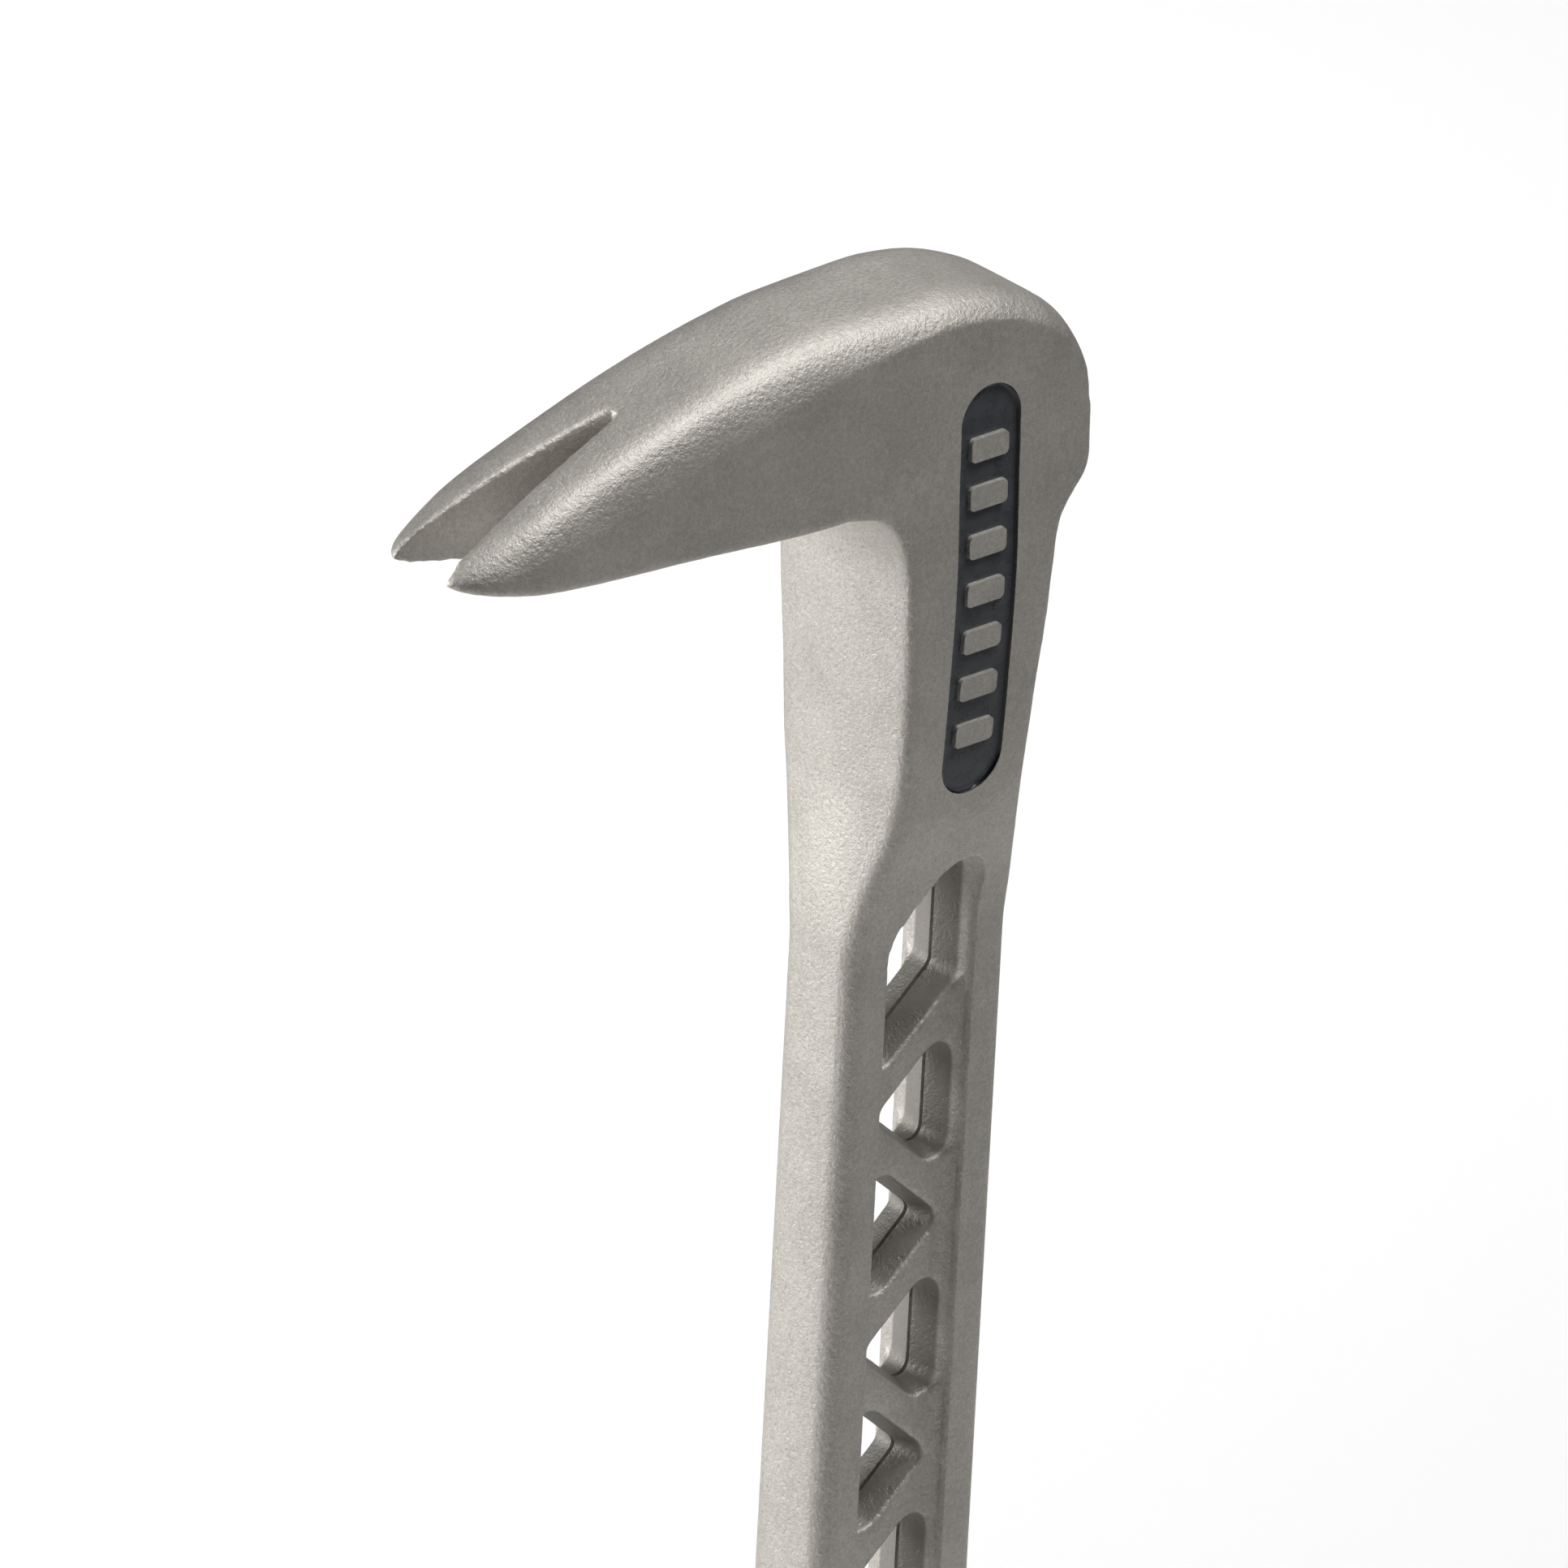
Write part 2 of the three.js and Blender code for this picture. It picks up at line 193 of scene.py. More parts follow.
def rounded(corners: Sequence[Triple], steps: int = 8) -> list[Pair]:
    """Rounds the corners of a polygon with true arcs.

    Args:
        corners: Triples of the two coordinates and the radius at each corner.
        steps: Chords in each arc.

    Returns:
        The rounded outline.
    """
    outline: list[Pair] = []
    count = len(corners)
    for i, (px, py, radius) in enumerate(corners):
        corner = Vector((px, py))
        back = (Vector(corners[i - 1][:2]) - corner).normalized()
        ahead = (Vector(corners[(i + 1) % count][:2]) - corner).normalized()
        half = back.angle(ahead) / 2
        centre = corner + (back + ahead).normalized() * (radius / math.sin(half))
        first = corner + back * (radius / math.tan(half)) - centre
        last = corner + ahead * (radius / math.tan(half)) - centre
        sweep = first.angle_signed(last) if radius > 0 else 0.0
        for k in range(steps + 1):
            turn = -sweep * k / steps
            cos, sin = math.cos(turn), math.sin(turn)
            outline.append(
                (
                    centre.x + first.x * cos - first.y * sin,
                    centre.y + first.x * sin + first.y * cos,
                )
            )
    return outline


def grown(outline: Sequence[Pair], amount: float) -> list[Pair]:
    """Moves a convex outline outwards along its own normals.

    Args:
        outline: The outline's points in order.
        amount: How far it grows. A negative amount shrinks it.

    Returns:
        The moved outline, with the same number of points.
    """
    count = len(outline)
    area = sum(
        outline[i][0] * outline[(i + 1) % count][1]
        - outline[(i + 1) % count][0] * outline[i][1]
        for i in range(count)
    )
    side = 1.0 if area > 0 else -1.0
    moved: list[Pair] = []
    for i, (px, py) in enumerate(outline):
        before = Vector((px, py)) - Vector(outline[i - 1])
        after = Vector(outline[(i + 1) % count]) - Vector((px, py))
        along = before.normalized() + after.normalized()
        if along.length < 1e-6:
            along = after
        along.normalize()
        moved.append((px + side * along.y * amount, py - side * along.x * amount))
    return moved


# ---- The bench -----------------------------------------------------------------------------


class Bench:
    """Operator work that every piece shares."""

    @staticmethod
    def only(item: bpy.types.Object) -> bpy.types.Object:
        """Leaves one object selected and active.

        Args:
            item: The object to work on.

        Returns:
            The same object.
        """
        bpy.ops.object.select_all(action="DESELECT")
        item.select_set(True)
        bpy.context.view_layer.objects.active = item
        return item

    @classmethod
    def tube(cls, name: str, rings: Sequence[Sequence[Vector]]) -> bpy.types.Object:
        """Rolls a grid into a closed skin through rings of equal length.

        Args:
            name: The new object's name.
            rings: The rings in order, each a closed loop of points in metres.

        Returns:
            The skin, with both ends filled and its faces pointing out.
        """
        around, along = len(rings[0]), len(rings)
        bpy.ops.object.select_all(action="DESELECT")
        bpy.ops.mesh.primitive_grid_add(
            x_subdivisions=around, y_subdivisions=along - 1, size=1.0
        )
        item = bpy.context.object
        item.name = name
        for j, ring in enumerate(rings):
            for i in range(around + 1):
                item.data.vertices[j * (around + 1) + i].co = ring[i % around]
        bpy.ops.object.mode_set(mode="EDIT")
        bpy.ops.mesh.select_all(action="SELECT")
        bpy.ops.mesh.remove_doubles(threshold=1e-7)
        bpy.ops.mesh.select_all(action="SELECT")
        bpy.ops.mesh.fill_holes(sides=0)
        bpy.ops.mesh.select_all(action="SELECT")
        bpy.ops.mesh.normals_make_consistent(inside=False)
        bpy.ops.object.mode_set(mode="OBJECT")
        return item

    @classmethod
    def modify(cls, item: bpy.types.Object, kind: str, **settings: Any) -> None:
        """Adds one modifier and applies it.

        Args:
            item: The object that is changed.
            kind: The modifier's type.
            settings: The modifier's values by name.
        """
        cls.only(item)
        modifier = item.modifiers.new(kind.title(), kind)
        for key, value in settings.items():
            setattr(modifier, key, value)
        bpy.ops.object.modifier_apply(modifier=modifier.name)

    @classmethod
    def work(
        cls, item: bpy.types.Object, tool: bpy.types.Object, cut: Cut, keep: bool = False
    ) -> None:
        """Joins, cuts or trims one closed solid with another.

        Args:
            item: The solid that is changed.
            tool: The solid that changes it.
            cut: What is done.
            keep: Leaves the tool in place afterwards.
        """
        log.info("%s %s", cut.name.lower(), tool.name)
        cls.modify(item, "BOOLEAN", operation=cut.value, object=tool, solver="MANIFOLD")
        if not keep:
            bpy.data.objects.remove(tool)

    @classmethod
    def melt(cls, item: bpy.types.Object, other: bpy.types.Object, grain: float) -> None:
        """Melts two overlapping skins into one closed solid.

        Args:
            item: The skin that stays.
            other: The skin that is taken in.
            grain: The size of the new faces in metres.
        """
        cls.only(item)
        other.select_set(True)
        bpy.ops.object.join()
        cls.modify(item, "REMESH", mode="VOXEL", voxel_size=grain)

    @classmethod
    def trim_folds(cls, item: bpy.types.Object) -> None:
        """Removes flat folds: faces back to back on the same points, and what hangs from them.

        Args:
            item: The object that is cleaned.
        """
        cls.only(item)
        bpy.ops.object.mode_set(mode="EDIT")
        bpy.ops.mesh.select_all(action="SELECT")
        bpy.ops.mesh.quads_convert_to_tris()
        bpy.ops.mesh.select_all(action="DESELECT")
        bpy.ops.object.mode_set(mode="OBJECT")
        on_points: dict[frozenset[int], list[int]] = {}
        for face in item.data.polygons:
            on_points.setdefault(frozenset(face.vertices), []).append(face.index)
        folded: set[int] = set()
        for twins in on_points.values():
            folded.update(twins[len(twins) % 2 :])
        kept = {twins[0]: points for points, twins in on_points.items() if len(twins) % 2}
        rounds = 3
        for _ in range(rounds):
            users = Counter(e for p in kept.values() for e in combinations(sorted(p), 2))
            hanging = {
                index
                for index, points in kept.items()
                if any(users[e] == 1 for e in combinations(sorted(points), 2))
            }
            folded |= hanging
            kept = {index: points for index, points in kept.items() if index not in hanging}
            if not hanging:
                break
        if folded:
            for index in folded:
                item.data.polygons[index].select = True
            bpy.ops.object.mode_set(mode="EDIT")
            bpy.ops.mesh.delete(type="FACE")
            bpy.ops.object.mode_set(mode="OBJECT")

    @classmethod
    def copy(cls, item: bpy.types.Object, name: str) -> bpy.types.Object:
        """Copies an object with a mesh of its own.

        Args:
            item: The object to copy.
            name: The copy's name.

        Returns:
            The copy.
        """
        cls.only(item)
        bpy.ops.object.duplicate()
        twin = bpy.context.object
        twin.name = name
        return twin

    @classmethod
    def block(cls, low: Vector, high: Vector) -> bpy.types.Object:
        """Adds a box between two corners.

        Args:
            low: The lowest corner in metres.
            high: The highest corner in metres.

        Returns:
            The box, with its place in its mesh.
        """
        bpy.ops.object.select_all(action="DESELECT")
        bpy.ops.mesh.primitive_cube_add(size=1.0, location=(low + high) / 2)
        item = bpy.context.object
        item.scale = high - low
        bpy.ops.object.transform_apply(location=True, rotation=True, scale=True)
        return item

    @classmethod
    def smooth_by_angle(cls, item: bpy.types.Object, degrees: float) -> None:
        """Shades an object smooth, apart from edges sharper than an angle."""
        cls.only(item)
        bpy.ops.object.shade_smooth_by_angle(angle=math.radians(degrees))


# ---- The casting ------------------------------------------------------------------------------


@dataclass
class Shaft:
    """Everything that runs up the bar: blade, heel, handle, shoulder, neck and both fillets."""

    datum: Datum
    front: tuple[Pair, ...] = (
        (0, -4.45), (4, -4.75), (18, -5.1), (30, -5.8), (46, -7.3), (58, -8.4),
        (66, -8.7), (238, -8.7), (242, -8.5), (246, -8.1), (250, -7.65), (254, -7.4),
        (258, -7.4), (263, -7.5), (269, -7.85), (276, -8.3),
    )
    rear: tuple[Pair, ...] = (
        (0, -2.35), (4, -1.9), (18, -0.2), (30, 2.0), (46, 6.0), (58, 9.9),
        (66, 11.5), (74, 11.9), (238, 11.95), (241, 11.8), (245, 11.15), (248.5, 10.45),
        (252, 9.95), (255, 9.75), (259, 9.85), (263, 10.1), (270, 10.75), (276, 11.15),
        (278.5, 11.4), (279.7, 11.65), (280.8, 12.1), (282, 13.0), (283, 13.9),
        (284, 14.7), (285.3, 15.15), (287, 15.3),
    )
    half: tuple[Pair, ...] = (
        (0, 13.9), (3, 14.0), (18, 13.9), (30, 11.9), (44, 8.0), (57, 5.5), (64, 5.1),
        (236, 5.1), (240, 5.55), (252, 8.3), (256, 8.85), (264, 9.3), (276, 9.65),
        (287, 9.25), (306, 8.4),
    )
    corner: tuple[Pair, ...] = (
        (0, 0.8), (10, 1.0), (30, 1.8), (50, 2.4), (236, 2.4), (250, 1.8), (260, 1.3),
        (276, 1.1), (284, 0.8), (290, 0.8),
    )
    crown: tuple[Pair, ...] = (
        (0, 0.0), (30, 0.0), (60, 0.15), (236, 0.15), (252, 0.7), (290, 0.7),
    )
    rear_corner_share: float = 0.72
    fillet_foot: Pair = (-8.3, 276.0)
    fillet_turn: Pair = (-8.5, 286.4)
    fillet_end: Pair = (-15.6, 286.5)
    top: float = 291.0
    arc_steps: int = 8
    face_points: int = 9
    side_points: int = 5

    def section(self, z: float, front: float) -> list[Vector]:
        """Draws one level section of the shaft.

        Args:
            z: The section's height.
            front: Where the section's front face lies at the middle.

        Returns:
            The closed ring of points in metres.
        """
        rear, half = eased(self.rear, z), eased(self.half, z)
        crown = eased(self.crown, z)
        radius = min(eased(self.corner, z), (rear - front - crown) / 2 - 0.05)
        back = radius * self.rear_corner_share
        flat, rear_flat = half - radius, half - back
        face = front + crown
        outline: list[Pair] = []
        for y in between(-flat, flat, self.face_points):
            outline.append((face - crown * (1 - (y / flat) ** 2), y))
        outline += arc((face + radius, flat), radius, 180, 90, self.arc_steps)
        outline += [(x, half) for x in between(face + radius, rear - back, self.side_points)]
        outline += arc((rear - back, rear_flat), back, 90, 0, self.arc_steps)
        outline += [(rear, y) for y in between(rear_flat, -rear_flat, self.side_points)]
        outline += arc((rear - back, -rear_flat), back, 0, -90, self.arc_steps)
        outline += [(x, -half) for x in between(rear - back, face + radius, self.side_points)]
        outline += arc((face + radius, -flat), radius, 270, 180, self.arc_steps)
        return [self.datum.place(x, y, z) for x, y in outline]

    def build(self) -> bpy.types.Object:
        """Skins the shaft from the blade's edge up into the head.

        Returns:
            The shaft as one closed skin.
        """
        levels = [0.0, 0.6, 2.0] + [4.0 + 2.5 * i for i in range(29)]
        levels += [90.0, 120.0, 160.0, 200.0, 225.0]
        levels += [231.0 + 1.5 * i for i in range(30)]
        foot_z, turns = self.fillet_foot[1], 14
        rings = [self.section(z, eased(self.front, z)) for z in levels if z < foot_z]
        for i in range(turns + 1):
            t = math.sin(math.pi / 2 * i / turns)
            x, z = (
                (1 - t) ** 2 * foot + 2 * t * (1 - t) * turn + t * t * end
                for foot, turn, end in zip(
                    self.fillet_foot, self.fillet_turn, self.fillet_end
                )
            )
            rings.append(self.section(z, x))
        rings.append(self.section(self.top, self.fillet_end[0]))
        return Bench.tube("shaft", rings)


@dataclass
class Head:
    """The claw, head and strike pad: one crowned body that runs from the tips to the pad."""

    datum: Datum
    crest: tuple[Pair, ...] = (
        (-62.1, 291.9), (-60, 293.3), (-56.5, 295.0), (-52, 296.9), (-47.8, 298.4),
        (-40, 300.9), (-34, 302.6), (-28, 304.1), (-21.8, 305.3), (-15.7, 305.95),
        (-9, 306.0), (-3, 306.0), (0, 305.7), (3, 305.2), (6, 304.3), (8.8, 303.1),
        (11.3, 301.8), (12.6, 300.7), (14, 298.9), (14.9, 297.0), (15.3, 294.8),
    )
    drop: tuple[Pair, ...] = (
        (-62.1, 0.6), (-60, 1.6), (-57, 2.9), (-53, 4.1), (-47, 4.9), (-40, 5.3),
        (-34, 5.3), (-28, 5.1), (-21.8, 4.7), (-15.7, 4.0), (-9.5, 3.2), (-3, 2.6),
        (3, 2.5), (8.8, 2.5), (11, 2.8), (13.3, 3.4), (15.3, 3.2),
    )
    brow_half: tuple[Pair, ...] = (
        (-62.1, 3.7), (-61.6, 4.6), (-60, 5.9), (-57, 7.2), (-53, 8.1), (-47, 8.35),
        (-30, 8.6), (-14, 8.7), (0, 8.6), (15.3, 8.75),
    )
    base_half: tuple[Pair, ...] = (
        (-62.1, 3.7), (-61.6, 4.7), (-60, 6.0), (-57, 7.4), (-53, 8.3), (-47, 8.6),
        (-30, 9.0), (-14, 9.25), (15.3, 9.25),
    )
    base: tuple[Pair, ...] = (
        (-62.1, 291.0), (-60, 290.3), (-57, 289.7), (-52, 289.0), (-46, 288.5),
        (-36, 287.9), (-15.6, 286.6), (-9, 287.4), (15.3, 287.4),
    )
    power: tuple[Pair, ...] = ((-62.1, 5.0), (-50, 6.6), (-36, 6.6), (-20, 5.4), (15.3, 5.0))
    pad_corner: float = 0.85
    foot_corner: float = 1.0

    def section(self, x: float) -> list[Vector]:
        """Draws one cross-section of the head.

        Args:
            x: Where the section stands.

        Returns:
            The closed ring of points in metres.
        """
        past = max(0.0, x - (STRIKE_REACH - self.pad_corner))
        tuck = self.pad_corner - math.sqrt(max(self.pad_corner**2 - past**2, 0.0))
        brow, foot = eased(self.brow_half, x) - tuck, eased(self.base_half, x) - tuck
        crest, base = eased(self.crest, x), eased(self.base, x)
        drop = min(eased(self.drop, x), (crest - base) * 0.75)
        radius = min(self.foot_corner, (crest - drop - base) * 0.45)
        power = eased(self.power, x)
        outline: list[Pair] = []
        crown_steps, foot_steps = 24, 5
        for i in range(crown_steps + 1):
            across = math.sin(math.pi * (i / crown_steps - 0.5))
            outline.append((brow * across, crest - drop * abs(across) ** power))
        edge = crest - drop
        share = [0.2, 0.4, 0.6, 0.8]
        right = [(brow + (foot - brow) * s, edge + (base + radius - edge) * s) for s in share]
        outline += right
        outline += arc((foot - radius, base + radius), radius, 0, -90, foot_steps)
        outline += [(y, base) for y in between(foot - radius, radius - foot, foot_steps)]
        outline += arc((radius - foot, base + radius), radius, -90, -180, foot_steps)
        outline += [(-y, z) for y, z in reversed(right)]
        return [self.datum.place(x, y, z) for y, z in outline]

    def build(self) -> bpy.types.Object:
        """Skins the head from the tips to the strike face.

        Returns:
            The head as one closed skin, with no slot yet.
        """
        stations = [-62.1, -61.9, -61.6, -61.0, -60.2, -59.0, -57.5]
        stations += [-56.0 + 2.0 * i for i in range(34)]
        stations += [12.5, 13.2, 13.8, 14.3, 14.7, 15.0, 15.2, 15.3]
        return Bench.tube("head", [self.section(x) for x in stations])


@dataclass
class NailSlots:
    """The V slot of the claw and the V notch of the blade, each with a broken upper edge."""

    datum: Datum
    head: Head
    claw_apex: float = -38.2
    claw_apex_half: float = 0.6
    claw_mouth_half: float = 3.6
    claw_break: float = 0.3
    notch_apex: float = 22.0
    notch_apex_half: float = 1.2
    notch_mouth_half: float = 4.5
    notch_flare: tuple[Pair, ...] = (
        (-14, 1.2), (-5.2, 0.5), (-3.6, 0.0), (-1.6, 0.0), (1.2, 0.5), (14, 1.6),
    )
    nose_steps: int = 12

    def claw_half(self, x: float) -> float:
        """Half width of the claw's slot at a distance along the claw."""
        share = (self.claw_apex - x) / (self.claw_apex - CLAW_TIP)
        return self.claw_apex_half + (self.claw_mouth_half - self.claw_apex_half) * share

    def claw_plan(self, grow: float) -> list[Pair]:
        """Draws the claw's slot from above.

        Args:
            grow: How much wider than the slot it is on each side.

        Returns:
            The outline, from the mouth round the apex and back.
        """
        centre = self.claw_apex - self.claw_apex_half
        nose = arc((centre, 0), self.claw_apex_half + grow, -90, 90, self.nose_steps)
        mouth = CLAW_TIP - 3.9
        wide = self.claw_half(mouth) + grow
        flank = [(x, self.claw_half(x) + grow) for x in (-44, -50, -56)]
        return (
            nose
            + flank
            + [(mouth, wide), (mouth, -wide)]
            + [(x, -y) for x, y in reversed(flank)]
        )

    def claw_cutter(self) -> bpy.types.Object:
        """Builds the straight cutter of the claw's slot."""
        plan = self.claw_plan(0.0)
        rings = [[self.datum.place(x, y, z) for x, y in plan] for z in (280, 310)]
        return Bench.tube("claw_slot", rings)

    def claw_edge_breaker(self) -> bpy.types.Object:
        """Builds the cutter that breaks the slot's upper edge along the crest.

        Returns:
            The cutter.
        """
        rings = []
        for depth, grow in ((0.9, -0.2), (0.0, self.claw_break), (-2.0, self.claw_break)):
            plan = self.claw_plan(grow)
            rings.append(
                [
                    self.datum.place(x, y, eased(self.head.crest, x) - depth)
                    for x, y in plan
                ]
            )
        return Bench.tube("claw_edge", rings)

    def notch_cutter(self) -> bpy.types.Object:
        """Builds the cutter of the blade's notch, flared at both faces.

        Returns:
            The cutter.
        """
        centre = self.notch_apex - self.notch_apex_half
        slope = (self.notch_mouth_half - self.notch_apex_half) / self.notch_apex
        below = 2.0
        rings = []
        for x, grow in self.notch_flare:
            nose = arc((0, centre), self.notch_apex_half + grow, 0, 180, self.nose_steps)
            foot = self.notch_mouth_half + below * slope + grow
            outline = nose + [(-foot, -below), (foot, -below)]
            rings.append([self.datum.place(x, y, z) for y, z in outline])
        return Bench.tube("blade_notch", rings)


@dataclass
class Truss:
    """The open web between the rails: side pockets, windows and their parting grooves."""

    datum: Datum
    draft: float = 0.27
    strut_half: float = 1.5
    front_crossing: float = -5.2
    rear_crossing: float = 9.2
    window_radius: float = 2.2
    groove_depth: float = 0.5
    groove_half: float = 0.22
    arch_x: float = 2.6
    arch_fall: float = 7.3
    arch_radii: Triple = (2.7, 4.0, 6.0)
    foot_radius: float = 4.6
    pocket_fillet: float = 1.5
    windows: list[list[Pair]] = field(default_factory=list)

    def __post_init__(self) -> None:
        """Draws every window at the web's face."""
        d = self.datum
        pitch = d.crossings[0] - d.crossings[1]
        first = d.crossings[0] + pitch
        self.slope = pitch / (self.rear_crossing - self.front_crossing)
        self.rise = self.strut_half * math.hypot(1, self.slope)
        self.windows.append(self.top_window(first))
        for i, z in enumerate(d.crossings):
            self.windows.append(self.window(z, i % 2 == 0))
        self.windows.append(self.bottom_window(d.crossings[-1] - pitch))

    def window(self, z: float, on_rear: bool) -> list[Pair]:
        """Draws one triangular window.

        Args:
            z: The height of its middle.
            on_rear: Whether its base lies along the rear rail.

        Returns:
            The outline at the web's face.
        """
        d = self.datum
        base = d.rail_rear_inner if on_rear else d.rail_front_inner
        crossing = self.front_crossing if on_rear else self.rear_crossing
        half = self.slope * abs(base - crossing) - self.rise
        inwards = -1 if on_rear else 1
        tip = base + inwards * half / self.slope
        r = self.window_radius
        corners = [(base, z - half, r), (base, z + half, r), (tip, z, r * 0.8)]
        return rounded(corners)

    def arch(self, top: float, margin: float) -> list[Triple]:
        """Lists the corners of the arch below the neck, from the rear rail to the front rail.

        Args:
            top: The arch's highest level.
            margin: How far it reaches into each rail.

        Returns:
            The corners with their radii.
        """
        front, rear = self.datum.rail_front_inner, self.datum.rail_rear_inner
        rear_radius, crest_radius, front_radius = self.arch_radii
        return [
            (rear + margin, top, rear_radius),
            (self.arch_x, top, crest_radius),
            (front - margin, top - self.arch_fall, front_radius),
        ]

    def top_window(self, crossing: float) -> list[Pair]:
        """Draws the tall arched window below the neck.

        Args:
            crossing: The height where the first strut line meets the rear rail.

        Returns:
            The outline at the web's face.
        """
        d = self.datum
        rear = crossing - self.slope * (self.rear_crossing - d.rail_rear_inner) + self.rise
        front = crossing - self.slope * (self.rear_crossing - d.rail_front_inner) + self.rise
        low = [(d.rail_front_inner, front, 1.6), (d.rail_rear_inner, rear, 2.0)]
        return rounded(low + self.arch(d.shoulder - 0.7, 0.0))

    def bottom_window(self, crossing: float) -> list[Pair]:
        """Draws the last window, which closes on the heel with an arch.

        Args:
            crossing: The height where the last strut line meets the rear rail.

        Returns:
            The outline at the web's face.
        """
        d = self.datum
        rear = crossing + self.slope * (self.rear_crossing - d.rail_rear_inner) - self.rise
        front = crossing + self.slope * (self.rear_crossing - d.rail_front_inner) - self.rise
        foot = d.heel + 0.4
        corners = [
            (d.rail_rear_inner, rear, 2.0),
            (d.rail_front_inner, front, 1.6),
            (d.rail_front_inner, foot, self.foot_radius),
            (d.rail_rear_inner, foot, self.foot_radius),
        ]
        return rounded(corners)

    def window_cutter(self, outline: list[Pair]) -> bpy.types.Object:
        """Builds a window's cutter, drafted both ways from the middle of the web.

        Args:
            outline: The window at the web's face.

        Returns:
            The cutter.
        """
        outside = 9.0
        rings = []
        for y in (-outside, -WEB_HALF, 0.0, WEB_HALF, outside):
            drawn = grown(outline, self.draft * min(abs(y) - WEB_HALF, 0.0))
            rings.append([self.datum.place(x, y, z) for x, z in drawn])
        return Bench.tube("window", rings)

    def groove_cutter(self, outline: list[Pair]) -> bpy.types.Object:
        """Builds the thin plate that cuts a window's parting groove at the middle.

        Args:
            outline: The window at the web's face.

        Returns:
            The cutter.
        """
        drawn = grown(outline, self.groove_depth - self.draft * WEB_HALF)
        rings = []
        for y in (-self.groove_half, self.groove_half):
            rings.append([self.datum.place(x, y, z) for x, z in drawn])
        return Bench.tube("groove", rings)

    def pocket_cutter(self, side: int) -> bpy.types.Object:
        """Builds the pocket beside the web on one side, with a filleted foot.

        Args:
            side: 1 for the left side and -1 for the right side.

        Returns:
            The cutter.
        """
        d = self.datum
        bottom, margin = d.heel + 0.2, 0.1
        low = [
            (d.rail_front_inner - margin, bottom, self.foot_radius),
            (d.rail_rear_inner + margin, bottom, self.foot_radius),
        ]
        outline = rounded(low + self.arch(d.shoulder - 0.5, margin))
        fillet, turns = self.pocket_fillet, 6
        rings = []
        for i in range(turns + 1):
            turn = math.pi / 2 * i / turns
            y = WEB_HALF + fillet * (1 - math.cos(turn))
            drawn = grown(outline, -fillet * (1 - math.sin(turn)))
            rings.append([d.place(x, side * y, z) for x, z in drawn])
        last = grown(outline, 0.5)
        rings.append([d.place(x, side * 12.0, z) for x, z in last])
        return Bench.tube("pocket", rings)


